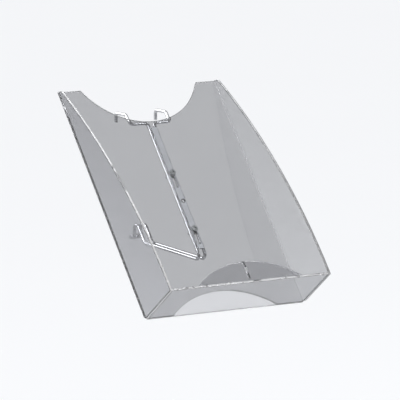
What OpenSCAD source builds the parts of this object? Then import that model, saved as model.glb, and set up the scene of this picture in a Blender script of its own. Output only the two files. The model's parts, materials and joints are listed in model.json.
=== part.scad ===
// Wall-hung magazine tray: a clear acrylic tray that leans back against a bent-wire
// bracket. The bracket's two upper hooks drop over a rail and its lower hooks keep it
// off the wall. Origin: middle of the rail seat, under the two upper hooks.
// +X to the viewer's right, +Y towards the wall, +Z up.

/* [Tray] */
// Outside width of the tray
tray_w = 230; // [222:1:260]
// Height of the back panel, measured along the panel
tray_l = 315; // [305:1:330]
// Outside depth of the tray at its floor
tray_d = 69; // [50:1:80]
// Acrylic sheet thickness
sheet = 3; // [2:0.5:4]
// How far the side panels rise above the back panel
side_rise = 2; // [1:0.5:8]
// How much the top end of a side panel drops for each mm towards the front
side_slope = 0.44; // [0:0.02:0.6]
// Radius of the side panels' curved front edge
side_curve_r = 810; // [700:10:900]
// Lean of the back panel from vertical, in degrees
tilt = 37.5; // [36:0.5:39]

/* [Cut-outs and lip] */
// Radius of the finger cut-out in the top edge
finger_r = 95; // [85:1:105]
// Height of the lowest point of the finger cut-out
finger_low = 265; // [262:1:272]
// Radius of the arch shared by the front lip and the window under the back panel
arch_r = 118; // [105:1:130]
// Height of the top of the arch above the tray's underside
arch_h = 29; // [20:1:34]
// Width of the slit in the middle of the front lip
slit_w = 1.6; // [1:0.2:3]

/* [Wire bracket] */
// Wire diameter
wire_d = 4; // [3:0.5:4.2]
// Distance between the two upright wires, centre to centre
wire_gap = 8.8; // [8.6:0.2:10]
// Distance between the two upper hooks, centre to centre
hook_span = 58; // [50:1:80]
// Height of the cross wires along the back panel
cross_u = 265.5; // [262:0.5:266]
// Length of an upper hook's tip below its bend
hook_tip = 11.8; // [11:0.2:14]
// Centreline radius of the wire bends
bend_r = 5; // [4:0.5:5]

/* [Slotted strip and fixings] */
// Width of the slotted strip
strip_w = 9; // [8.8:0.2:12]
// Thickness of the slotted strip
strip_t = 1.5; // [1:0.25:2]
// Height of the upper clamp screw along the panel
screw_u = 192; // [190:1:194]
// Distance between the two clamp screws
screw_pitch = 79; // [76:1:82]
// Adjustment travel of the tray along the slots
travel = 18; // [8:1:18]
// Length of a clamp screw under its head
screw_len = 16; // [15:1:22]

/* [Hidden] */
$fn = 64;
s = sin(tilt);
c = cos(tilt);
seat_y = 185;                       // rail seat, in the tray's own frame
seat_z = 218.3;
wr = wire_d / 2;
gap = 0.1;                          // between the sliding faces
wy = gap + strip_t + wr;            // depth of the upright wires behind the panel
inner_w = tray_w - 2 * sheet;
hole_r = 2.3;
screw_r = 2;
back_face = wy + wr;                // rear of the upright wires
run_z = seat_z + wr;                // centreline height of the upper back runs
tip_y = 196.5;                      // centreline depth of the upper hook tips
low_y = 191.5;                      // the same for the lower hook tips
tube_r = 3;                         // short tube welded behind the lower tips
tube_bore = 1.2;
tube_half = 6.6;
tube_y = low_y + wr + tube_r;
tube_z = 65.2;
leg_y = 167.5;                      // where the legs turn up
leg_z = 60.8;
leg_rise = 0.05;                    // slope of the legs, towards the wall
low_up = 25;

// a point at height u along the panel and depth y behind it
function pu(x, u, y) = [x, u * s + y * c, u * c - y * s];
function unit(v) = v / norm(v);

// where the upright meets the leg
foot_u = (leg_z - leg_rise * leg_y + leg_rise * wy * c + wy * s) / (c - leg_rise * s);

// centreline of one bent wire; side is -1 for the left one, 1 for the right one
function wire_path(side) = [
    [side * hook_span / 2, tip_y, run_z - hook_tip],
    [side * hook_span / 2, tip_y, run_z],
    pu(side * hook_span / 2, (run_z + wy * s) / c, wy),
    pu(side * hook_span / 2, cross_u, wy),
    pu(side * wire_gap / 2, cross_u, wy),
    pu(side * wire_gap / 2, foot_u, wy),
    [side * wire_gap / 2, leg_y, leg_z],
    [side * wire_gap / 2, leg_y + low_up * s, leg_z + low_up * c],
    [side * wire_gap / 2, low_y, leg_z + low_up * c],
    [side * wire_gap / 2, low_y, tube_z - 0.3]
];

module frame() translate([0, -seat_y, -seat_z]) children();
module tray_frame() frame() rotate([-tilt, 0, 0]) children();

// a round bar from a to b
module bar(a, b, r) {
    z = unit(b - a);
    h = abs(z[2]) > 0.9 ? [1, 0, 0] : [0, 0, 1];
    x = unit(cross(h, z));
    y = cross(z, x);
    multmatrix([[x[0], y[0], z[0], a[0]], [x[1], y[1], z[1], a[1]], [x[2], y[2], z[2], a[2]], [0, 0, 0, 1]])
        cylinder(h = norm(b - a), r = r);
}

// a bend of the wire at corner b between a and d
module elbow(a, b, d, rb, r) {
    d1 = unit(b - a);
    d2 = unit(d - b);
    ang = acos(d1 * d2);
    t = rb * tan(ang / 2);
    m = b + unit(d2 - d1) * rb / cos(ang / 2);
    x = unit(b - d1 * t - m);
    z = unit(cross(d1, d2));
    y = cross(z, x);
    multmatrix([[x[0], y[0], z[0], m[0]], [x[1], y[1], z[1], m[1]], [x[2], y[2], z[2], m[2]], [0, 0, 0, 1]])
        rotate_extrude(angle = ang) translate([rb, 0]) circle(r = r - 0.02);
}

function turn(p, i) = let (d1 = unit(p[i] - p[i - 1]), d2 = unit(p[i + 1] - p[i])) acos(d1 * d2);
function cutback(p, i, rb) = (i == 0 || i == len(p) - 1) ? 0 : rb * tan(turn(p, i) / 2);

module bent_wire(p, rb, r) {
    for (i = [0:len(p) - 2]) {
        d = unit(p[i + 1] - p[i]);
        // each straight run laps 0.05 into the bends it meets
        bar(p[i] + d * (cutback(p, i, rb) - (i == 0 ? 0 : 0.05)),
            p[i + 1] - d * (cutback(p, i + 1, rb) - (i == len(p) - 2 ? 0 : 0.05)), r);
    }
    for (i = [1:len(p) - 2]) elbow(p[i - 1], p[i], p[i + 1], rb, r);
}

module hanger_wire(side) {
    p = wire_path(side);
    color([0.86, 0.87, 0.89]) frame() {
        bent_wire(p, bend_r, wr);
        // chamfered ends of both tips
        for (q = [p[0], p[len(p) - 1]])
            translate([q[0], q[1], q[2] - 0.6]) cylinder(h = 0.7, r1 = wr - 0.6, r2 = wr - 0.02);
    }
}

module left_hanger_wire() hanger_wire(-1);
module right_hanger_wire() hanger_wire(1);

// joins the two lower tips; its bore is open at both ends
module lower_cross_tube() color([0.80, 0.81, 0.83]) frame()
    translate([-tube_half, tube_y, tube_z]) rotate([0, 90, 0]) difference() {
        cylinder(h = 2 * tube_half, r = tube_r);
        translate([0, 0, -1]) cylinder(h = 2 * tube_half + 2, r = tube_bore);
    }

// upright round-ended slot outline, from height a to height b
module slot2d(a, b, r) {
    translate([0, a]) circle(r = r);
    translate([0, b]) circle(r = r);
    translate([-r, a]) square([2 * r, b - a]);
}

module slotted_strip() color([0.78, 0.79, 0.82]) tray_frame()
    translate([0, gap + strip_t, 0]) rotate([90, 0, 0]) linear_extrude(strip_t) difference() {
        translate([-strip_w / 2, 86]) square([strip_w, 172]);
        slot2d(screw_u - travel, screw_u, hole_r);
        slot2d(screw_u - screw_pitch - travel, screw_u - screw_pitch, hole_r);
        translate([0, screw_u - screw_pitch / 2]) circle(r = hole_r);
    }

module back_panel() color([0.80, 0.82, 0.85, 0.45]) tray_frame()
    rotate([90, 0, 0]) linear_extrude(sheet) difference() {
        translate([-inner_w / 2, sheet]) square([inner_w, tray_l - sheet]);
        translate([0, finger_low + finger_r]) circle(r = finger_r, $fn = 180);
        translate([0, arch_h - arch_r]) circle(r = arch_r, $fn = 180);
        for (k = [0, 0.5, 1]) translate([0, screw_u - k * screw_pitch]) circle(r = hole_r);
    }

// outline of a side panel: x is depth (front is negative), y is height along the panel
module side2d() difference() {
    intersection() {
        translate([-tray_d, 0]) square([tray_d, tray_l + side_rise]);
        translate([side_curve_r - tray_d, 5]) circle(r = side_curve_r, $fn = 720);
        // sloping top end
        polygon([[0, 0], [0, tray_l + side_rise], [-tray_d, tray_l + side_rise - side_slope * tray_d], [-tray_d, 0]]);
    }
    // rounded lower rear corner
    difference() {
        translate([-5, -1]) square([6, 6]);
        translate([-5, 5]) circle(r = 5);
    }
    // rounded top
    difference() {
        translate([-1.5, tray_l + side_rise - 1.5]) square([3, 3]);
        translate([-1.5, tray_l + side_rise - 1.5]) circle(r = 1.5);
    }
}

module side_panel() rotate([90, 0, 90]) linear_extrude(sheet) side2d();
module left_side_panel() color([0.74, 0.76, 0.79, 0.45]) tray_frame()
    translate([-tray_w / 2, 0, 0]) side_panel();
module right_side_panel() color([0.74, 0.76, 0.79, 0.45]) tray_frame()
    translate([tray_w / 2 - sheet, 0, 0]) side_panel();

module floor_panel() color([0.83, 0.85, 0.88, 0.45]) tray_frame()
    translate([-inner_w / 2, -tray_d, 0]) cube([inner_w, tray_d, sheet]);

module front_lip() color([0.72, 0.74, 0.77, 0.45]) tray_frame()
    translate([0, sheet - tray_d, 0]) rotate([90, 0, 0]) linear_extrude(sheet) difference() {
        intersection() {
            translate([0, arch_h - arch_r]) circle(r = arch_r, $fn = 180);
            translate([-100, sheet]) square([200, arch_h]);
        }
        // slit for a divider, open at the top
        slot2d(sheet + 3, arch_h + 5, slit_w / 2);
    }

// repeats a fixing at both clamp screws, with its axis running back from the panel
module at_screws() tray_frame() for (k = [0, 1])
    translate([0, 0, screw_u - k * screw_pitch]) rotate([-90, 0, 0]) children();

module clamp_screws() color([0.45, 0.47, 0.48]) at_screws() difference() {
    union() {
        // pan head in front of the sheet
        intersection() {
            translate([0, 0, -sheet - 2.4]) cylinder(h = 2.4, r = 4);
            translate([0, 0, -sheet - 2.4 + 6.2]) sphere(r = 6.4);
        }
        translate([0, 0, -sheet]) cylinder(h = sheet + screw_len - 3.6, r = screw_r);
        translate([0, 0, screw_len - 3.6]) cylinder(h = 0.6, r1 = screw_r, r2 = screw_r - 0.6);
    }
    // cross recess
    for (a = [0, 90]) rotate([0, 0, a]) translate([-2.2, -0.45, -sheet - 3]) cube([4.4, 0.9, 2.1]);
}

module rear_washers() color([0.72, 0.73, 0.75]) at_screws()
    translate([0, 0, back_face + 0.3]) difference() {
        cylinder(h = 1, r = 5);
        translate([0, 0, -1]) cylinder(h = 3, r = screw_r + 0.2);
    }

module spring_washers() color([0.60, 0.61, 0.63]) at_screws()
    translate([0, 0, back_face + 1.3]) difference() {
        cylinder(h = 1, r = 3.6);
        translate([0, 0, -1]) cylinder(h = 3, r = screw_r + 0.15);
        translate([1, -0.4, -1]) cube([4, 0.8, 3]);
    }

module hex_nuts() color([0.66, 0.67, 0.70]) at_screws()
    translate([0, 0, back_face + 2.3]) difference() {
        intersection() {
            cylinder(h = 3.2, r = 3.5 / cos(30), $fn = 6);
            translate([0, 0, 1.6]) sphere(r = 4.2);
        }
        translate([0, 0, -1]) cylinder(h = 6, r = screw_r + 0.05);
    }

back_panel();
left_side_panel();
right_side_panel();
floor_panel();
front_lip();
left_hanger_wire();
right_hanger_wire();
slotted_strip();
lower_cross_tube();
clamp_screws();
rear_washers();
spring_washers();
hex_nuts();
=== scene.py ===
import json
import math

import bmesh
import bpy
from mathutils import Matrix, Vector
from mathutils.geometry import tessellate_polygon


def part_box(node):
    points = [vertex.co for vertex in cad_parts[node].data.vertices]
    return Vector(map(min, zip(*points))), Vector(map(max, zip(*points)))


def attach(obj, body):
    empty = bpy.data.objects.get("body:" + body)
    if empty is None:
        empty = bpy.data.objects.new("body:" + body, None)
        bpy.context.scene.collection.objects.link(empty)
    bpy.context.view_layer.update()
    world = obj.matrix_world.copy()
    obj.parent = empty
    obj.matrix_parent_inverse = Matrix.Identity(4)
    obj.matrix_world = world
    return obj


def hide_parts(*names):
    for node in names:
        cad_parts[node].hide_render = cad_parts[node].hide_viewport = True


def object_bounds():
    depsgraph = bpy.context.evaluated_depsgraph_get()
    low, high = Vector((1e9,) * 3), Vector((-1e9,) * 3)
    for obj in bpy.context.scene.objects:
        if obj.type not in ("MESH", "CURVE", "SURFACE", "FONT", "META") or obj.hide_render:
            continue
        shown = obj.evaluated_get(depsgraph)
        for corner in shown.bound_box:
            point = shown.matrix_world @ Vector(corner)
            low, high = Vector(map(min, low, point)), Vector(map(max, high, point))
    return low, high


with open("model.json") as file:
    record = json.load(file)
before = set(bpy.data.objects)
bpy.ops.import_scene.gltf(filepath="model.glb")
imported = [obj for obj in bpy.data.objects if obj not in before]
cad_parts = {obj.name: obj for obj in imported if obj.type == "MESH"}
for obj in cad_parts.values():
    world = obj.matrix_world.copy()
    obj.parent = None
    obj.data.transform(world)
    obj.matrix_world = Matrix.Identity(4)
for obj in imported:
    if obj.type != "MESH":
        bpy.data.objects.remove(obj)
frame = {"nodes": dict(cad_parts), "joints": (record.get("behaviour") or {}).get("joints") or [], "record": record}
cad_lo, cad_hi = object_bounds()
record = frame["record"]
nodes = frame["nodes"]
MM = 0.001

# ---------------------------------------------------------------- the tray's own axes
AX = Vector((1, 0, 0))
AU = Vector(frame["joints"][0]["axis"]).normalized()   # up the back panel
AN = Vector((0, -AU.z, AU.y))                          # out of its front
SH = 3.0          # sheet thickness, mm
HALF = (cad_hi.x - cad_lo.x) / 2 / MM                  # outside half width, mm
INNER = HALF - SH
s_, c_ = AU.y, AU.z


def tray_origin():
    """The corner x = 0, u = 0, n = 0 of the tray, from the floor panel's box."""
    lo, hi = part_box("floor_panel")
    # the floor panel fills u 0..3 and n 0..69, so its rear lower edge is its lowest point in u and n
    best = None
    for v in nodes["floor_panel"].data.vertices:
        p = v.co
        k = p.dot(AU) + p.dot(AN)
        if best is None or k < best[0]:
            best = (k, p.copy())
    return Vector((0, best[1].y, best[1].z))


ORG = tray_origin()


def T(x, u, n=0.0):
    """Tray coordinates in mm to the row frame in metres."""
    return ORG + AX * (x * MM) + AU * (u * MM) + AN * (n * MM)


# ---------------------------------------------------------------- node helpers
def new_mat(name):
    m = bpy.data.materials.new(name)
    m.use_nodes = True
    nt = m.node_tree
    nt.nodes.clear()
    out = nt.nodes.new("ShaderNodeOutputMaterial")
    bs = nt.nodes.new("ShaderNodeBsdfPrincipled")
    nt.links.new(bs.outputs[0], out.inputs[0])
    return m, nt, bs


def node(nt, kind, **props):
    n = nt.nodes.new(kind)
    for k, v in props.items():
        setattr(n, k, v)
    return n


def noise(nt, scale, detail=3.0, rough=0.5, vec=None, stretch=None):
    tc = node(nt, "ShaderNodeTexCoord")
    mp = node(nt, "ShaderNodeMapping")
    nt.links.new(tc.outputs["Object"], mp.inputs["Vector"])
    if stretch:
        mp.inputs["Rotation"].default_value = stretch[0]
        mp.inputs["Scale"].default_value = stretch[1]
    n = node(nt, "ShaderNodeTexNoise")
    n.inputs["Scale"].default_value = scale
    n.inputs["Detail"].default_value = detail
    n.inputs["Roughness"].default_value = rough
    nt.links.new(mp.outputs[0], n.inputs["Vector"])
    return n.outputs["Fac"]


def ramp(nt, src, stops):
    r = node(nt, "ShaderNodeValToRGB")
    el = r.color_ramp.elements
    el[0].position, el[0].color = stops[0][0], (*stops[0][1], 1)
    el[1].position, el[1].color = stops[-1][0], (*stops[-1][1], 1)
    for pos, col in stops[1:-1]:
        e = el.new(pos)
        e.color = (*col, 1)
    nt.links.new(src, r.inputs["Fac"])
    return r.outputs["Color"]


def remap(nt, src, lo, hi, a=0.0, b=1.0):
    m = node(nt, "ShaderNodeMapRange")
    m.inputs["From Min"].default_value = a
    m.inputs["From Max"].default_value = b
    m.inputs["To Min"].default_value = lo
    m.inputs["To Max"].default_value = hi
    nt.links.new(src, m.inputs["Value"])
    return m.outputs[0]


def math_node(nt, op, a, b=None):
    m = node(nt, "ShaderNodeMath", operation=op)
    for i, v in enumerate((a, b)):
        if v is None:
            continue
        if isinstance(v, (int, float)):
            m.inputs[i].default_value = v
        else:
            nt.links.new(v, m.inputs[i])
    return m.outputs[0]


def bump(nt, src, strength, distance, normal=None):
    b = node(nt, "ShaderNodeBump")
    b.inputs["Strength"].default_value = strength
    b.inputs["Distance"].default_value = distance
    nt.links.new(src, b.inputs["Height"])
    if normal is not None:
        nt.links.new(normal, b.inputs["Normal"])
    return b.outputs[0]


def scratches(nt, scale, width, seed_rot, stretch=(1.0, 26.0, 26.0)):
    """Sparse hairlines: a stretched noise cut to thin bands, broken up by a second noise."""
    a = noise(nt, scale, 2.0, 0.5, stretch=(seed_rot, stretch))
    d = math_node(nt, "ABSOLUTE", math_node(nt, "SUBTRACT", a, 0.5))
    line = remap(nt, d, 1.0, 0.0, 0.0, width)
    brk = noise(nt, scale * 0.7, 2.0, 0.5)
    keep = remap(nt, brk, 0.0, 1.0, 0.56, 0.64)
    return math_node(nt, "MULTIPLY", line, keep)


def acrylic(name, tint, rough=0.012, top=1.0, low=1.0):
    """Clear sheet with a faint grey tint; top and low scale the tint towards the top and the bottom, painted light and
    shade up its height.
    """
    m, nt, bs = new_mat(name)
    bs.inputs["Transmission Weight"].default_value = 1.0
    bs.inputs["IOR"].default_value = 1.49
    cloud = noise(nt, 9.0, 3.0, 0.6)
    lo = tuple(t * 0.985 for t in tint)
    hi = tuple(min(1, t * 1.015) for t in tint)
    base = ramp(nt, cloud, [(0.3, lo), (0.7, hi)])
    # scaling the tint up the height is painted light and shade
    if top != 1.0 or low != 1.0:
        tc = node(nt, "ShaderNodeTexCoord")
        sp = node(nt, "ShaderNodeSeparateXYZ")
        nt.links.new(tc.outputs["Object"], sp.inputs[0])
        f = remap(nt, sp.outputs["Z"], low, top, cad_lo.z, cad_hi.z)
        sc = node(nt, "ShaderNodeVectorMath", operation="SCALE")
        nt.links.new(base, sc.inputs[0])
        nt.links.new(f, sc.inputs["Scale"])
        base = sc.outputs[0]
    nt.links.new(base, bs.inputs["Base Color"])
    s1 = scratches(nt, 46.0, 0.010, (0.3, 0.5, 0.4))
    s2 = scratches(nt, 60.0, 0.008, (1.1, -0.6, 1.9))
    marks = math_node(nt, "MAXIMUM", s1, s2)
    smudge = remap(nt, noise(nt, 14.0, 4.0, 0.6), 0.0, 0.018, 0.45, 0.8)
    r = math_node(nt, "ADD", math_node(nt, "MULTIPLY", marks, 0.10), smudge)
    r = math_node(nt, "ADD", r, rough)
    nt.links.new(r, bs.inputs["Roughness"])
    wav = noise(nt, 22.0, 2.0, 0.5)
    h = math_node(nt, "ADD", math_node(nt, "MULTIPLY", wav, 0.4), math_node(nt, "MULTIPLY", marks, -0.05))
    nt.links.new(bump(nt, h, 0.06, 0.0005), bs.inputs["Normal"])
    return m


def acrylic_edge(name, tint, trans, rough, lum, dark=None, scale=120.0):
    """The cut edges: flame polished, a little milky, with fine saw lines left across them. The dark argument adds
    noise patches of a much darker tint along them, painted shade.
    """
    m, nt, bs = new_mat(name)
    bs.inputs["Transmission Weight"].default_value = trans
    bs.inputs["IOR"].default_value = 1.49
    bs.inputs["Coat Weight"].default_value = 0.5
    bs.inputs["Coat Roughness"].default_value = 0.06
    cloud = noise(nt, scale, 3.0, 0.6)
    stops = [(0.3, tuple(t * 0.95 for t in tint)), (0.7, tint)]
    if dark:
        stops = [(0.37, dark), (0.44, tint), (0.7, tint)]
    nt.links.new(ramp(nt, cloud, stops), bs.inputs["Base Color"])
    saw = noise(nt, 260.0, 2.0, 0.6)
    nt.links.new(remap(nt, saw, rough * 0.6, rough * 1.5, 0.3, 0.7), bs.inputs["Roughness"])
    nt.links.new(bump(nt, saw, 0.12, 0.0002), bs.inputs["Normal"])
    if lum:
        bs.inputs["Emission Color"].default_value = (1, 1, 1, 1)
        bs.inputs["Emission Strength"].default_value = lum
    return m


def plated(name, col, rough, metal=1.0, wear=(0.45, 0.44, 0.42), wear_amt=0.35, spangle=True, streak=None):
    """Zinc-plated steel: fine spangle, drawing lines along the wire, rubbed spots and edge wear."""
    m, nt, bs = new_mat(name)
    bs.inputs["Metallic"].default_value = metal
    cloud = noise(nt, 70.0, 4.0, 0.65)
    base = ramp(nt, cloud, [(0.25, tuple(v * 0.90 for v in col)), (0.55, col), (0.8, tuple(min(1, v * 1.05) for v in col))])
    spots = remap(nt, noise(nt, 160.0, 3.0, 0.7), 0.0, 1.0, 0.60, 0.72)
    geo = node(nt, "ShaderNodeNewGeometry")
    edge = remap(nt, geo.outputs["Pointiness"], 0.0, 1.0, 0.53, 0.60)
    mask = math_node(nt, "MULTIPLY", math_node(nt, "MAXIMUM", spots, edge), wear_amt)
    mx = node(nt, "ShaderNodeMix", data_type="RGBA")
    nt.links.new(mask, mx.inputs["Factor"])
    nt.links.new(base, mx.inputs["A"])
    mx.inputs["B"].default_value = (*wear, 1)
    nt.links.new(mx.outputs["Result"], bs.inputs["Base Color"])
    fine = noise(nt, 900.0, 2.0, 0.5, stretch=streak)
    r = math_node(nt, "ADD", remap(nt, fine, -0.05, 0.07, 0.3, 0.7), math_node(nt, "MULTIPLY", mask, 0.18))
    r = math_node(nt, "ADD", r, rough)
    nt.links.new(r, bs.inputs["Roughness"])
    sc = scratches(nt, 150.0, 0.012, (0.4, 0.9, 0.2))
    h = math_node(nt, "SUBTRACT", math_node(nt, "MULTIPLY", fine, 0.5), math_node(nt, "MULTIPLY", sc, 0.6))
    nt.links.new(bump(nt, h, 0.25, 0.00006), bs.inputs["Normal"])
    return m


# each sheet gets its own tint, lighter or darker by how light falls on it: painted light and shade on one clear
# acrylic
M_BACK = acrylic("acrylic_back", (0.452, 0.455, 0.466))
M_LEFT = acrylic("acrylic_left_side", (0.66, 0.663, 0.68), top=1.0, low=1.34)
M_RIGHT = acrylic("acrylic_right_side", (0.62, 0.623, 0.636), top=0.80, low=0.97)
M_FLOOR = acrylic("acrylic_floor", (0.66, 0.663, 0.68))
M_LIP = acrylic("acrylic_lip", (0.585, 0.588, 0.605))
# very dark tints on the rims and rounded arrises draw dark outlines along the sheet edges: painted shade
M_SHADE_RIM = acrylic("acrylic_rim_painted_shade", (0.10, 0.102, 0.108), rough=0.05)
M_SHADE_RIM_BACK = acrylic("acrylic_rim_back_painted_shade", (0.30, 0.302, 0.31), rough=0.03)
# the cut-edge copies differ in tint and milkiness from sheet to sheet, and the floor and left ones carry dark patches:
# painted light and shade
M_EDGE = acrylic_edge("acrylic_edge", (0.88, 0.89, 0.90), 0.66, 0.20, 0.0)
M_EDGEF = acrylic_edge("acrylic_edge_floor", (0.74, 0.745, 0.755), 0.66, 0.20, 0.0, dark=(0.12, 0.12, 0.13), scale=170.0)
M_EDGEL = acrylic_edge("acrylic_edge_left", (0.96, 0.965, 0.97), 0.55, 0.20, 0.0, dark=(0.30, 0.303, 0.31), scale=26.0)
M_SHADE_ARRIS = acrylic_edge("acrylic_arris_painted_shade", (0.10, 0.102, 0.11), 0.50, 0.20, 0.0)
M_EDGEB = acrylic_edge("acrylic_edge_back", (0.74, 0.745, 0.76), 0.85, 0.16, 0.0)
M_WIRE = plated("zinc_wire", (0.46, 0.465, 0.48), 0.11, wear=(0.37, 0.37, 0.36))
M_STRIP = plated("zinc_strip", (0.85, 0.855, 0.87), 0.24)
# a near-black copy of the zinc for the strip's arrises: painted shade along its edges
M_STRIP_SHADE = plated("zinc_strip_arris_painted_shade", (0.13, 0.135, 0.14), 0.30)
# the strip's front face glows a little, so it reads as light as the sheet around it: painted light
M_STRIP_GLOW = plated("zinc_strip_face_painted_glow", (0.74, 0.75, 0.78), 0.42, wear=(0.7, 0.7, 0.7), wear_amt=0.15)
sb = M_STRIP_GLOW.node_tree.nodes["Principled BSDF"]
sb.inputs["Emission Color"].default_value = (0.94, 0.98, 1.03, 1)
sb.inputs["Emission Strength"].default_value = 0.44
M_SCREW = plated("screw_steel", (0.215, 0.225, 0.23), 0.55, metal=0.0, wear=(0.30, 0.30, 0.31), wear_amt=0.35)
M_SCREW.node_tree.nodes["Principled BSDF"].inputs["Specular IOR Level"].default_value = 0.12
M_SHANK = plated("screw_shank", (0.82, 0.825, 0.84), 0.24)
M_FIX = plated("zinc_fixings", (0.80, 0.81, 0.83), 0.26)
M_SPRING = plated("spring_steel", (0.36, 0.36, 0.38), 0.34)
M_WELD = plated("weld_metal", (0.50, 0.50, 0.52), 0.42, wear_amt=0.2)


# ---------------------------------------------------------------- mesh helpers
def link(name, me, mats, body, sharp=30, flat0=False):
    o = bpy.data.objects.new(name, me)
    bpy.context.scene.collection.objects.link(o)
    for m in mats:
        me.materials.append(m)
    me.set_sharp_from_angle(angle=math.radians(sharp))
    for p in me.polygons:
        p.use_smooth = not (flat0 and p.material_index in (0, 3))
    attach(o, body)
    return o


def extruded(loops, thick, bev, res=3, band=0.0, hide=None, shade_stripe=0.0, shade_stripe_side=1, rear=0.0):
    """A flat sheet with rounded arrises from closed 2D loops (outer first), centred on z = 0, mm.

    Slots: 0 broad faces, 1 cut edges, 2 arrises, 3 the rim of the broad faces, band mm wide.
    Where hide(x, y) is true the edge is inside a welded joint: it stays square and clear.
    The stripe argument is the width of a stripe of the cut edge that takes slot 2, the dark arris material, on the
    side the next argument sets: painted shade; rear is the rim's width at x = 0."""
    bm = bmesh.new()
    prof = []
    for i in range(res + 1):
        th = math.pi / 2 * i / res
        prof.append((1 - math.sin(th), 1 - math.cos(th)))
    half = thick / 2
    caps = []
    for li, pts in enumerate(loops):
        area2 = sum(p[0] * q[1] - q[0] * p[1] for p, q in zip(pts, pts[1:] + pts[:1]))
        if (area2 > 0) != (li == 0):
            pts = pts[::-1]
        n = len(pts)
        hid = [bool(hide and hide(*q)) for q in pts]
        nrm = []
        for i in range(n):
            p, q, r = Vector(pts[i - 1]), Vector(pts[i]), Vector(pts[(i + 1) % n])
            d1, d2 = (q - p).normalized(), (r - q).normalized()
            m1, m2 = Vector((-d1.y, d1.x)), Vector((-d2.y, d2.x))
            m = m1 + m2
            nrm.append(m / max(0.2, m.length_squared / 2))
        rings, kinds = [], []

        def ring(a_, b_, extra, sign):
            out = []
            for i in range(n):
                bv = 0.03 if hid[i] else bev
                ex_ = extra if extra == 0 or not rear or pts[i][0] < -0.6 else rear
                k = a_ * bv + ex_
                out.append(bm.verts.new((pts[i][0] + nrm[i].x * k, pts[i][1] + nrm[i].y * k, sign * (half - b_ * bv))))
            rings.append(out)

        if band:
            ring(1, 0, band, 1)
            kinds.append(3)
        for k, (a_, b_) in enumerate(prof):
            ring(a_, b_, 0, 1)
            kinds.append(2 if k < res else (2 if shade_stripe and shade_stripe_side > 0 else 1))
        if shade_stripe:
            zz = shade_stripe_side * (half - bev - shade_stripe)
            rings.append([bm.verts.new((pts[i][0], pts[i][1], zz)) for i in range(n)])
            kinds.append(2 if shade_stripe_side < 0 else 1)
        for k, (a_, b_) in enumerate(prof[::-1]):
            ring(a_, b_, 0, -1)
            kinds.append(2 if k < res else 3)
        if band:
            ring(1, 0, band, -1)
        for ra, rb, kind in zip(rings, rings[1:], kinds):
            for i in range(n):
                j = (i + 1) % n
                f = bm.faces.new((ra[i], rb[i], rb[j], ra[j]))
                if rear and kind == 1 and pts[i][0] > -0.6 and pts[j][0] > -0.6:
                    kind_ = 0
                else:
                    kind_ = kind
                f.material_index = 0 if (hid[i] and hid[j]) else kind_
        caps.append((rings[0], rings[-1]))
    for side in (0, 1):
        flat = [v for c in caps for v in c[side]]
        tris = tessellate_polygon([[v.co.copy() for v in c[side]] for c in caps])
        for tri in tris:
            vs = [flat[i] for i in tri]
            if len(set(vs)) == 3:
                try:
                    bm.faces.new(vs)
                except ValueError:
                    pass
    bmesh.ops.recalc_face_normals(bm, faces=bm.faces)
    if bm.calc_volume(signed=True) < 0:
        bmesh.ops.reverse_faces(bm, faces=bm.faces)
    me = bpy.data.meshes.new("sheet")
    bm.to_mesh(me)
    bm.free()
    return me


def place(me, origin, ex, ey, ez):
    """Moves a mesh in mm onto origin (metres) with its axes along ex, ey, ez."""
    m = Matrix((
        (ex.x * MM, ey.x * MM, ez.x * MM, origin.x),
        (ex.y * MM, ey.y * MM, ez.y * MM, origin.y),
        (ex.z * MM, ey.z * MM, ez.z * MM, origin.z),
        (0, 0, 0, 1)))
    me.transform(m)
    if m.determinant() < 0:
        me.flip_normals()


def arc(cx, cy, r, a0, a1, n):
    """Points on a circle from angle a0 to a1, in degrees."""
    return [(cx + r * math.cos(math.radians(a0 + (a1 - a0) * i / n)), cy + r * math.sin(math.radians(a0 + (a1 - a0) * i / n))) for i in range(n + 1)]


def circle(cx, cy, r, n=40):
    return arc(cx, cy, r, 0, 360, n)[:-1]


GAP = 0.04        # the hairline of the solvent-welded joints
BEV = 0.35        # arris rounding of the sheets
BAND = 0.45       # width of the darker rim just inside the arrises, painted shade

# ---------------------------------------------------------------- back panel
TOP = 315.0
FR, FLOW = 95.0, 265.0
AR, AH = 118.0, 29.0
fc = FLOW + FR
a_hit = math.degrees(math.asin((TOP - fc) / FR))          # where the cut-out meets the top edge
ac = AH - AR
b_hit = math.degrees(math.asin((3.0 - ac) / AR))


def blend_corner(p, before, after, r, n=6):
    """Rounds corner p between its neighbours' directions."""
    p, a, b = Vector(p), Vector(before), Vector(after)
    d1, d2 = (a - p).normalized(), (b - p).normalized()
    half = d1.angle(d2) / 2
    t = r / math.tan(half)
    c = p + (d1 + d2).normalized() * (r / math.sin(half))
    s0, s1 = p + d1 * t, p + d2 * t
    out = []
    for i in range(n + 1):
        q = s0.lerp(s1, i / n)
        out.append(tuple(c + (q - c).normalized() * r))
    return out


w = INNER - GAP
outline = []
outline += [(-w, 3.0 + GAP), (-w, TOP)]
cut = arc(0, fc, FR, 180 - a_hit, 360 + a_hit, 120)
cut = cut if cut[0][0] < 0 else cut[::-1]
corner_l = blend_corner(cut[0], (-w, TOP), cut[3], 1.2)
corner_r = blend_corner(cut[-1], cut[-4], (w, TOP), 1.2)
outline += corner_l + cut[2:-2] + corner_r
outline += [(w, TOP), (w, 3.0 + GAP)]
arch = arc(0, ac, AR, b_hit, 180 - b_hit, 120)
outline += arch
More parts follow.
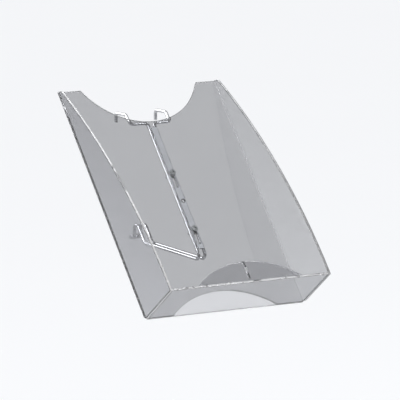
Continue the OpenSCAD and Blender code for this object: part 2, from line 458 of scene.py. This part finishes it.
# drop points that repeat
clean = [outline[0]]
for p in outline[1:]:
    if math.dist(p, clean[-1]) > 0.01:
        clean.append(p)
back_loops = [clean] + [circle(0, u, 2.3) for u in (192.0, 152.5, 113.0)]
me = extruded(back_loops, SH, BEV, band=0.3, hide=lambda x, y: abs(x) > INNER - 0.5 or (y < 3.2 and abs(x) > 70))
place(me, T(0, 0, SH / 2), AX, AU, AN)
back = link("back_sheet", me, [M_BACK, M_EDGEB, M_SHADE_RIM_BACK, M_SHADE_RIM_BACK], "tray", flat0=True)
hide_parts("back_panel")

# ---------------------------------------------------------------- side panels
D = 69.0
RISE = 2.0
SR = 810.0
FALL = 0.44
cxs, cys = SR - D, 5.0
n_top = 8.0
for _ in range(40):
    u_top = TOP + RISE - FALL * n_top
    n_top = D - (SR - math.sqrt(SR * SR - (u_top - cys) ** 2))
a_top = math.degrees(math.asin((u_top - cys) / SR))
# x is depth with the front negative: up the curved front edge, along the sloping top, round the lower rear corner
front = arc(cxs, cys, SR, 180, 180 - a_top, 110)
tip, rear = front[-1], (0.0, TOP + RISE)
side = [(-D, 0.0)] + front[:-2]
side += blend_corner(tip, front[-4], rear, 1.2)
side += blend_corner(rear, tip, (0.0, 0.0), 1.3)
side += arc(-5.0, 5.0, 5.0, 0, -90, 14)
clean = [side[0]]
for p in side[1:]:
    if math.dist(p, clean[-1]) > 0.01:
        clean.append(p)
if math.dist(clean[0], clean[-1]) < 0.01:
    clean.pop()
# the right sheet gets a stripe of the dark arris material along one side of its cut edge: painted shade
for sgn, name, nd in ((-1, "left_side_sheet", "left_side_panel"), (1, "right_side_sheet", "right_side_panel")):
    if sgn < 0:
        me = extruded([clean], SH, BEV, band=BAND, rear=0.7)
    else:
        me = extruded([clean], SH, BEV, band=BAND, shade_stripe=0.8, shade_stripe_side=1, hide=lambda x, y: x > -0.6 and 2.0 < y < TOP)
    # mesh x is depth (towards the wall positive), mesh y is height
    place(me, T(sgn * (HALF - SH / 2), 0, 0), -AN, AU, AX)
    o = link(name, me, [M_LEFT if sgn < 0 else M_RIGHT, M_EDGEL if sgn < 0 else M_EDGE, M_SHADE_ARRIS, M_SHADE_RIM], "tray", flat0=True)
    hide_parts(nd)

# ---------------------------------------------------------------- floor and lip
me = extruded([[(-w, 0.0), (w, 0.0), (w, D), (-w, D)]], SH, BEV, band=BAND, hide=lambda x, y: False)
place(me, T(0, SH / 2, 0), AX, AN, AU)
o = link("floor_sheet", me, [M_FLOOR, M_EDGEF, M_SHADE_ARRIS, M_SHADE_RIM], "tray", flat0=True)
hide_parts("floor_panel")

sw = 0.8
lip = []
half = math.sqrt(AR ** 2 - (3.0 + GAP - ac) ** 2)
ang0 = math.degrees(math.asin((3.0 + GAP - ac) / AR))
slit_top = ac + math.sqrt(AR ** 2 - sw ** 2)
arc_r = [p for p in arc(0, ac, AR, ang0, 90, 60) if p[0] > sw + 0.2]
arc_l = [(-p[0], p[1]) for p in arc_r][::-1]
lip += arc_r + [(sw, slit_top), (sw, 21.0), (sw, 14.0)] + arc(0, 6.0, sw, 0, -180, 10) + [(-sw, 14.0), (-sw, 21.0), (-sw, slit_top)] + arc_l
me = extruded([lip], SH, 0.22, hide=lambda x, y: y < 3.2)
# the slit was sawn; its walls take the dark arris material, painted shade, except a short stretch that keeps the clear
# cut-edge material and shows as a light line, a painted highlight
for p in me.polygons:
    if abs(p.center.x) < 1.3 and p.material_index in (1, 2):
        p.material_index = 1 if 14.0 < p.center.y < 21.0 else 2
    elif p.material_index == 2:
        p.material_index = 1
place(me, T(0, 0, D - SH / 2), AX, AU, AN)
o = link("front_lip_sheet", me, [M_LIP, M_EDGE, M_SHADE_ARRIS], "tray", flat0=True)
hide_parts("front_lip")


# ---------------------------------------------------------------- bent wires
def fillet_path(pts, radii, step=8):
    out = [pts[0]]
    for i in range(1, len(pts) - 1):
        p, a, b = pts[i], pts[i - 1], pts[i + 1]
        d1, d2 = (a - p).normalized(), (b - p).normalized()
        turn = math.pi - d1.angle(d2)
        r = radii[i]
        t = r * math.tan(turn / 2)
        c = p + (d1 + d2).normalized() * (r / math.cos(turn / 2))
        s0 = p + d1 * t
        ax = (s0 - c).cross(d2 - d1).normalized()
        x = (s0 - c).normalized()
        y = (-d1)
        n = max(4, int(math.degrees(turn) / step))
        for k in range(n + 1):
            th = turn * k / n
            out.append(c + x * (r * math.cos(th)) + y * (r * math.sin(th)))
    out.append(pts[-1])
    # add points along the long straights, so noise-free but evenly shaded
    full = [out[0]]
    for p in out[1:]:
        d = (p - full[-1]).length
        k = int(d / 12.0)
        q = full[-1].copy()
        for j in range(1, k):
            full.append(q.lerp(p, j / k))
        full.append(p)
    return full


def sweep(path, r, sides=28, cap0=True, cap1=True):
    """A round bar along a path in mm, with cut and chamfered ends."""
    bm = bmesh.new()
    rings = []
    n = len(path)
    tang = []
    for i in range(n):
        a = path[max(0, i - 1)]
        b = path[min(n - 1, i + 1)]
        tang.append((b - a).normalized())
    up = Vector((1, 0, 0)) if abs(tang[0].x) < 0.9 else Vector((0, 1, 0))
    nrm = (up - tang[0] * up.dot(tang[0])).normalized()
    prev = tang[0]
    stations = []
    for i in range(n):
        q = prev.rotation_difference(tang[i])
        nrm = (q @ nrm)
        nrm = (nrm - tang[i] * nrm.dot(tang[i])).normalized()
        prev = tang[i]
        stations.append((path[i], tang[i], nrm.copy(), r))
    if cap0:
        p, t, m, _ = stations[0]
        stations = [(p, t, m, r * 0.02), (p, t, m, r - 0.45), (p + t * 0.12, t, m, r - 0.2), (p + t * 0.4, t, m, r)] + stations[1:]
    if cap1:
        p, t, m, _ = stations[-1]
        stations = stations[:-1] + [(p - t * 0.4, t, m, r), (p - t * 0.12, t, m, r - 0.2), (p, t, m, r - 0.45), (p, t, m, r * 0.02)]
    for p, t, m, rr in stations:
        b = t.cross(m)
        rings.append([bm.verts.new(p + m * (rr * math.cos(2 * math.pi * k / sides)) + b * (rr * math.sin(2 * math.pi * k / sides))) for k in range(sides)])
    for a, b in zip(rings, rings[1:]):
        for k in range(sides):
            bm.faces.new((a[k], a[(k + 1) % sides], b[(k + 1) % sides], b[k]))
    bm.faces.new(rings[0][::-1])
    bm.faces.new(rings[-1])
    bmesh.ops.recalc_face_normals(bm, faces=bm.faces)
    me = bpy.data.meshes.new("bar")
    bm.to_mesh(me)
    bm.free()
    return me


# the wire's route, in mm in the tray's world-aligned frame (y towards the wall, z up)
SEAT = Vector((0, 185.0, 218.3))
tilt = math.atan2(s_, c_)
WR = 2.0
WYL = 0.1 + 1.5 + WR
RUN_Z = 218.3 + WR
LEG_Y, LEG_Z, SLOPE = 167.5, 60.8, 0.05
LOW_Y = 191.5
TUBE_Y, TUBE_Z, TUBE_R, TUBE_BORE, TUBE_X = 196.5, 65.2, 3.0, 1.2, 6.6
UPL = 25.0


def pu(x, u, yl):
    return Vector((x, u * s_ + yl * c_, u * c_ - yl * s_))


foot_u = (LEG_Z - SLOPE * LEG_Y + SLOPE * WYL * c_ + WYL * s_) / (c_ - SLOPE * s_)
CROSS_U = 265.5
wires = {}
for sgn, name, nd in ((-1, "left_hanger", "left_hanger_wire"), (1, "right_hanger", "right_hanger_wire")):
    xh, xw = sgn * 29.0, sgn * 4.4
    pts = [
        Vector((xh, 196.5, RUN_Z - 12.4)),
        Vector((xh, 196.5, RUN_Z)),
        pu(xh, (RUN_Z + WYL * s_) / c_, WYL),
        pu(xh, CROSS_U, WYL),
        pu(xw, CROSS_U, WYL),
        pu(xw, foot_u, WYL),
        Vector((xw, LEG_Y, LEG_Z)),
        Vector((xw, LEG_Y + UPL * s_, LEG_Z + UPL * c_)),
        Vector((xw, LOW_Y, LEG_Z + UPL * c_)),
        Vector((xw, LOW_Y, TUBE_Z - 0.9)),
    ]
    path = fillet_path(pts, [0] + [5.0] * 8 + [0])
    me = sweep(path, WR)
    me.transform(Matrix.Translation(-SEAT))
    me.transform(Matrix.Scale(MM, 4))
    o = link(name, me, [M_WIRE], "bracket", sharp=40)
    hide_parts(nd)
    wires[name] = path

# short tube behind the tips of the lower hooks, with turned ends
def tube_mesh(r, bore, half, sides=48):
    prof = [(bore, 0), (bore, half - 0.35), (bore + 0.12, half - 0.1), (bore + 0.35, half), (r - 0.4, half), (r - 0.14, half - 0.12), (r, half - 0.4)]
    prof = prof[1:]
    ring_prof = prof + [(q[0], -q[1]) for q in prof[::-1]]
    bm = bmesh.new()
    rings = [[bm.verts.new((x, rr * math.cos(2 * math.pi * k / sides), rr * math.sin(2 * math.pi * k / sides))) for k in range(sides)] for rr, x in ring_prof]
    for i in range(len(rings)):
        ra, rb = rings[i], rings[(i + 1) % len(rings)]
        for k in range(sides):
            bm.faces.new((ra[k], ra[(k + 1) % sides], rb[(k + 1) % sides], rb[k]))
    bmesh.ops.recalc_face_normals(bm, faces=bm.faces)
    if bm.calc_volume(signed=True) < 0:
        bmesh.ops.reverse_faces(bm, faces=bm.faces)
    me = bpy.data.meshes.new("tube")
    bm.to_mesh(me)
    bm.free()
    return me


me = tube_mesh(TUBE_R, TUBE_BORE, TUBE_X)
me.transform(Matrix.Translation(Vector((0, TUBE_Y, TUBE_Z)) - SEAT))
me.transform(Matrix.Scale(MM, 4))
o = link("cross_tube", me, [M_WIRE], "bracket", sharp=40)
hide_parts("lower_cross_tube")

# ---------------------------------------------------------------- slotted strip
def slot_loop(a, b, r, n=14):
    return arc(0, b, r, 0, 180, n) + arc(0, a, r, 180, 360, n)


strip = [(-4.5, 86.0), (4.5, 86.0), (4.5, 258.0), (-4.5, 258.0)]
strip = (blend_corner(strip[0], strip[3], strip[1], 0.8) + blend_corner(strip[1], strip[0], strip[2], 0.8)
         + blend_corner(strip[2], strip[1], strip[3], 0.8) + blend_corner(strip[3], strip[2], strip[0], 0.8))
me = extruded([strip, slot_loop(174.0, 192.0, 2.3), slot_loop(95.0, 113.0, 2.3), circle(0, 152.5, 2.3)], 1.5, 0.50)
place(me, T(0, 0, -0.1 - 0.75), AX, AU, AN)
# the front face takes the glowing copy, painted light; the arrises take the near-black copy, painted shade
for p in me.polygons:
    d = p.normal.dot(AN)
    p.material_index = 1 if d > 0.98 else (2 if d > 0.15 else 0)
o = link("strip", me, [M_STRIP, M_STRIP_GLOW, M_STRIP_SHADE], "bracket", sharp=35)
for p in o.data.polygons:
    if abs(p.normal.dot(AN)) > 0.98:
        p.use_smooth = False
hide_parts("slotted_strip")

# ---------------------------------------------------------------- resistance welds
def weld_bead(p0, p1, r, out_dir, seed):
    """A short fused bead between two touching bars: a lumpy spindle."""
    bm = bmesh.new()
    n, sides = 14, 14
    ax = (p1 - p0).normalized()
    side = ax.cross(out_dir).normalized()
    rings = []
    for i in range(n + 1):
        f = i / n
        c = p0.lerp(p1, f)
        prof = math.sqrt(max(0.0, 1 - (2 * f - 1) ** 2)) * (0.86 + 0.14 * math.cos(f * 17 + seed)) + 0.02
        ring = []
        for k in range(sides):
            th = 2 * math.pi * k / sides
            rr = r * prof * (1 + 0.06 * math.sin(3 * th + seed + 5 * f))
            ring.append(bm.verts.new(c + out_dir * (rr * 0.75 * math.cos(th)) + side * (rr * math.sin(th))))
        rings.append(ring)
    for a, b in zip(rings, rings[1:]):
        for k in range(sides):
            bm.faces.new((a[k], a[(k + 1) % sides], b[(k + 1) % sides], b[k]))
    bm.faces.new(rings[0][::-1])
    bm.faces.new(rings[-1])
    bmesh.ops.recalc_face_normals(bm, faces=bm.faces)
    return bm


def join(bms, name):
    me = bpy.data.meshes.new(name)
    allb = bmesh.new()
    for b in bms:
        tmp = bpy.data.meshes.new("t")
        b.to_mesh(tmp)
        b.free()
        allb.from_mesh(tmp)
        bpy.data.meshes.remove(tmp)
    allb.to_mesh(me)
    allb.free()
    return me


beads = []
outn = Vector((0, -c_, s_))
for sgn in (-1, 1):
    for u in (92.0, 128.0, 160.0, 210.0, 250.0):
        for dx in (-1.15, 1.15):
            p0, p1 = pu(sgn * 4.4 + dx * 1.0, u - 3.2, 1.78), pu(sgn * 4.4 + dx * 1.0, u + 3.2, 1.78)
            beads.append(weld_bead(p0, p1, 0.55, outn, u + dx))
for sgn in (-1, 1):
    for dx in (-1.0, 1.0):
        p0 = Vector((sgn * 4.4 + dx, LOW_Y + WR - 0.15, TUBE_Z - 1.1))
        beads.append(weld_bead(p0, p0 + Vector((0, 0, 2.4)), 0.55, Vector((0, 1, 0)), dx))
me = join(beads, "welds")
me.transform(Matrix.Translation(-SEAT))
me.transform(Matrix.Scale(MM, 4))
o = link("weld_beads", me, [M_WELD], "bracket", sharp=60)


# ---------------------------------------------------------------- screws
def lathe(profile, sides=48):
    """Turns (radius, height) pairs about Z; both ends close on the axis."""
    bm = bmesh.new()
    rings = []
    for r, z in profile:
        if r < 1e-6:
            rings.append([bm.verts.new((0, 0, z))])
        else:
            rings.append([bm.verts.new((r * math.cos(2 * math.pi * k / sides), r * math.sin(2 * math.pi * k / sides), z)) for k in range(sides)])
    for a, b in zip(rings, rings[1:]):
        for k in range(sides):
            k2 = (k + 1) % sides
            if len(a) == 1 and len(b) == 1:
                continue
            if len(a) == 1:
                bm.faces.new((a[0], b[k2], b[k]))
            elif len(b) == 1:
                bm.faces.new((a[k], a[k2], b[0]))
            else:
                bm.faces.new((a[k], a[k2], b[k2], b[k]))
    bmesh.ops.recalc_face_normals(bm, faces=bm.faces)
    return bm


def bm_mesh(bm, name="m"):
    me = bpy.data.meshes.new(name)
    bm.to_mesh(me)
    bm.free()
    return me


def boolean(me_a, me_b, op):
    oa = bpy.data.objects.new("ba", me_a)
    ob = bpy.data.objects.new("bb", me_b)
    for o in (oa, ob):
        bpy.context.scene.collection.objects.link(o)
    md = oa.modifiers.new("b", "BOOLEAN")
    md.operation = op
    md.object = ob
    md.solver = "EXACT"
    bpy.context.view_layer.update()
    dg = bpy.context.evaluated_depsgraph_get()
    me = bpy.data.meshes.new_from_object(oa.evaluated_get(dg))
    bpy.data.objects.remove(oa)
    bpy.data.objects.remove(ob)
    return me


def thread(r_major, r_minor, pitch, z0, z1, sides=36):
    """A closed helical ridge from z0 up to z1, run out at both ends."""
    bm = bmesh.new()
    prof = [(0.02, r_minor - 0.12), (0.16, r_minor), (0.44, r_major), (0.56, r_major), (0.84, r_minor), (0.98, r_minor - 0.12)]
    steps = int((z1 - z0) / pitch * sides)
    rows = []
    for i in range(steps + 1):
        a = 2 * math.pi * i / sides
        z = z0 + pitch * i / sides
        fade = min(1.0, i / (sides * 0.8), (steps - i) / (sides * 0.8))
        row = []
        for f, r in prof:
            rr = r_minor - 0.12 + (r - r_minor + 0.12) * fade
            row.append(bm.verts.new((rr * math.cos(a), rr * math.sin(a), z + (f - 0.5) * pitch)))
        rows.append(row)
    k = len(prof)
    for a, b in zip(rows, rows[1:]):
        for i in range(k):
            j = (i + 1) % k
            bm.faces.new((a[i], a[j], b[j], b[i]))
    bm.faces.new(rows[0][::-1])
    bm.faces.new(rows[-1])
    bmesh.ops.recalc_face_normals(bm, faces=bm.faces)
    return bm


def screw_mesh():
    # head from the seat (z = 0) towards -z, shank towards +z; local z points back through the sheet
    head = [(0, -2.4)]
    R = 6.4
    zc = -2.4 + R
    for i in range(1, 13):
        r = 3.55 * i / 12
        head.append((r, zc - math.sqrt(R * R - r * r)))
    zr = head[-1][1]
    for i in range(1, 8):
        a = math.pi / 2 * i / 7
        head.append((3.55 + 0.45 * math.sin(a), zr + 0.5 * (1 - math.cos(a))))
    head += [(4.0, -0.12), (3.88, 0.0), (2.0, 0.0), (2.0, 0.8), (1.62, 1.2), (1.62, 14.9), (1.5, 15.4), (1.1, 15.9), (0.6, 16.0), (0, 16.0)]
    body = bm_mesh(lathe(head, 56))
    # cross recess: two tapered blades, cut one after the other
    for k in range(2):
        bm = bmesh.new()
        a = math.pi / 2 * k + math.radians(18)
        ca, sa = math.cos(a), math.sin(a)

        def V(x, y, z):
            return bm.verts.new((x * ca - y * sa, x * sa + y * ca, z))
        w0, w1, l0, l1 = 0.52, 0.34 + 0.02 * k, 2.3, 0.9
        top = [V(-l0, -w0, -3.0), V(l0, -w0, -3.0), V(l0, w0, -3.0), V(-l0, w0, -3.0)]
        bot = [V(-l1, -w1, -0.5 - 0.03 * k), V(l1, -w1, -0.5 - 0.03 * k), V(l1, w1, -0.5 - 0.03 * k), V(-l1, w1, -0.5 - 0.03 * k)]
        bm.faces.new(top)
        bm.faces.new(bot[::-1])
        for i in range(4):
            j = (i + 1) % 4
            bm.faces.new((top[i], top[j], bot[j], bot[i]))
        bmesh.ops.recalc_face_normals(bm, faces=bm.faces)
        body = boolean(body, bm_mesh(bm), "DIFFERENCE")
    tb = thread(1.98, 1.62, 0.7, 3.6, 15.3)
    tm = bm_mesh(tb)
    allb = bmesh.new()
    allb.from_mesh(body)
    allb.from_mesh(tm)
    return bm_mesh(allb)


parts = bmesh.new()
for u in (192.0, 113.0):
    me = screw_mesh()
    # local z runs from the panel's front face back through it
    place(me, T(0, u, SH), AX, AU, -AN)
    parts.from_mesh(me)
me = bm_mesh(parts, "screws")
for p in me.polygons:
    p.material_index = 0 if (p.center - ORG).dot(AN) > (SH - 0.05) * MM else 1
o = link("screws", me, [M_SCREW, M_SHANK], "tray", sharp=32)
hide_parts("clamp_screws")

for nd, m in (("rear_washers", M_FIX), ("spring_washers", M_SPRING), ("hex_nuts", M_FIX)):
    ob = nodes[nd]
    ob.data.materials.clear()
    ob.data.materials.append(m)

# ---------------------------------------------------------------- stage, light and camera
def plain(name, col, rough):
    m, nt, bs = new_mat(name)
    c = noise(nt, 1.2, 2.0, 0.5)
    nt.links.new(ramp(nt, c, [(0.3, tuple(v * 0.995 for v in col)), (0.7, col)]), bs.inputs["Base Color"])
    bs.inputs["Roughness"].default_value = rough
    bs.inputs["Specular IOR Level"].default_value = 0.0
    return m


bm = bmesh.new()
bmesh.ops.create_grid(bm, x_segments=2, y_segments=2, size=60.0)
fm = bm_mesh(bm, "floor")
floor = bpy.data.objects.new("studio_floor", fm)
fm.materials.append(plain("studio_floor", (0.905, 0.915, 0.93), 0.9))
floor.location = (0, 0, cad_lo.z - 0.45)
bpy.context.scene.collection.objects.link(floor)

world = bpy.data.worlds.new("studio")
bpy.context.scene.world = world
world.use_nodes = True
wn = world.node_tree
wn.nodes.clear()
wo = wn.nodes.new("ShaderNodeOutputWorld")
bg = wn.nodes.new("ShaderNodeBackground")
tc = wn.nodes.new("ShaderNodeTexCoord")
sep = wn.nodes.new("ShaderNodeSeparateXYZ")
rp = wn.nodes.new("ShaderNodeValToRGB")
mr = wn.nodes.new("ShaderNodeMapRange")
wn.links.new(tc.outputs["Generated"], sep.inputs[0])
wn.links.new(sep.outputs["Z"], mr.inputs["Value"])
mr.inputs["From Min"].default_value = -1
mr.inputs["From Max"].default_value = 1
wn.links.new(mr.outputs[0], rp.inputs["Fac"])
el = rp.color_ramp.elements
el[0].position, el[0].color = 0.0, (0.91, 0.92, 0.94, 1)
el[1].position, el[1].color = 1.0, (1.05, 1.05, 1.05, 1)
e = el.new(0.52)
e.color = (0.93, 0.935, 0.95, 1)
e = el.new(0.75)
e.color = (0.98, 0.98, 0.99, 1)
wn.links.new(rp.outputs[0], bg.inputs["Color"])
bg.inputs["Strength"].default_value = 1.0
wn.links.new(bg.outputs[0], wo.inputs[0])


def area(name, loc, target, size, power, col=(1, 1, 1)):
    li = bpy.data.lights.new(name, "AREA")
    li.shape = "RECTANGLE"
    li.size, li.size_y = size
    li.energy = power
    li.color = col
    ob = bpy.data.objects.new(name, li)
    ob.location = loc
    ob.rotation_mode = "QUATERNION"
    ob.rotation_quaternion = (Vector(target) - Vector(loc)).to_track_quat("-Z", "Y")
    bpy.context.scene.collection.objects.link(ob)
    return ob


mid = (cad_lo + cad_hi) / 2
area("key", (-2.2, -1.6, 2.6), mid, (1.6, 1.6), 14)
area("fill", (2.6, -1.2, 1.4), mid, (1.2, 2.0), 8)


def rim(name, direction, dist, size, radiance, through=False):
    """A soft box that shows as a highlight in the metal; through lets the clear sheets pass it."""
    d = Vector(direction).normalized()
    power = radiance * size[0] * size[1] * math.pi
    ob = area(name, tuple(mid + d * dist), mid, size, power)
    ob.visible_camera = False
    ob.visible_transmission = through
    ob.visible_diffuse = False
    return ob


rim("box_left_high", (-0.869, 0.0, 0.495), 2.0, (1.9, 1.2), 13.0, True)
rim("rim_legs", (-0.424, 0.794, 0.435), 2.2, (1.0, 1.5), 7.0)
rim("box_cross", (0.551, -0.78, 0.38), 2.6, (0.8, 1.7), 11.0, True)


def flag(name, direction, dist, size):
    """A black card beside the set: it only shows in the metal, as the dark line along its sides."""
    d = Vector(direction).normalized()
    b = bmesh.new()
    bmesh.ops.create_grid(b, x_segments=1, y_segments=1, size=0.5)
    me = bm_mesh(b, name)
    me.materials.append(plain(name, (0.02, 0.02, 0.02), 1.0))
    ob = bpy.data.objects.new(name, me)
    ob.scale = (size[0], size[1], 1)
    ob.location = mid + d * dist
    ob.rotation_mode = "QUATERNION"
    ob.rotation_quaternion = (-d).to_track_quat("Z", "Y")
    bpy.context.scene.collection.objects.link(ob)
    ob.visible_camera = False
    ob.visible_transmission = False
    ob.visible_diffuse = False
    ob.visible_shadow = False


flag("card_back", (0.62, 0.78, 0.0), 1.6, (1.9, 0.75))
flag("card_right", (0.96, 0.22, 0.16), 1.6, (1.5, 1.0))


az, elv = math.radians(-33.80), math.radians(7.95)
backv = Vector((math.sin(az) * math.cos(elv), -math.cos(az) * math.cos(elv), math.sin(elv)))
right = Vector((math.cos(az), math.sin(az), 0))
upv = backv.cross(right)
cen = Vector((0, 68.5, 146.6)) * MM - Vector((0, 185.0, 218.3)) * MM
target = cen - right * (-6.305 / 0.833 * MM) - upv * (17.246 / 0.833 * MM)
cam_d = bpy.data.cameras.new("camera")
cam = bpy.data.objects.new("camera", cam_d)
cam_d.sensor_width = 36.0
cam_d.lens = 36.0 * 4163.8 / 400.0
cam_d.clip_start, cam_d.clip_end = 0.1, 100.0
cam.location = target + backv * 4.998
cam.rotation_mode = "QUATERNION"
cam.rotation_quaternion = (-backv).to_track_quat("-Z", "Y")
bpy.context.scene.collection.objects.link(cam)
bpy.context.scene.camera = cam
bpy.context.scene.view_settings.view_transform = "Standard"
bpy.context.scene.view_settings.look = "None"
bpy.context.scene.cycles.max_bounces = 26
bpy.context.scene.cycles.transmission_bounces = 26
bpy.context.scene.cycles.glossy_bounces = 8
bpy.context.scene.cycles.transparent_max_bounces = 16
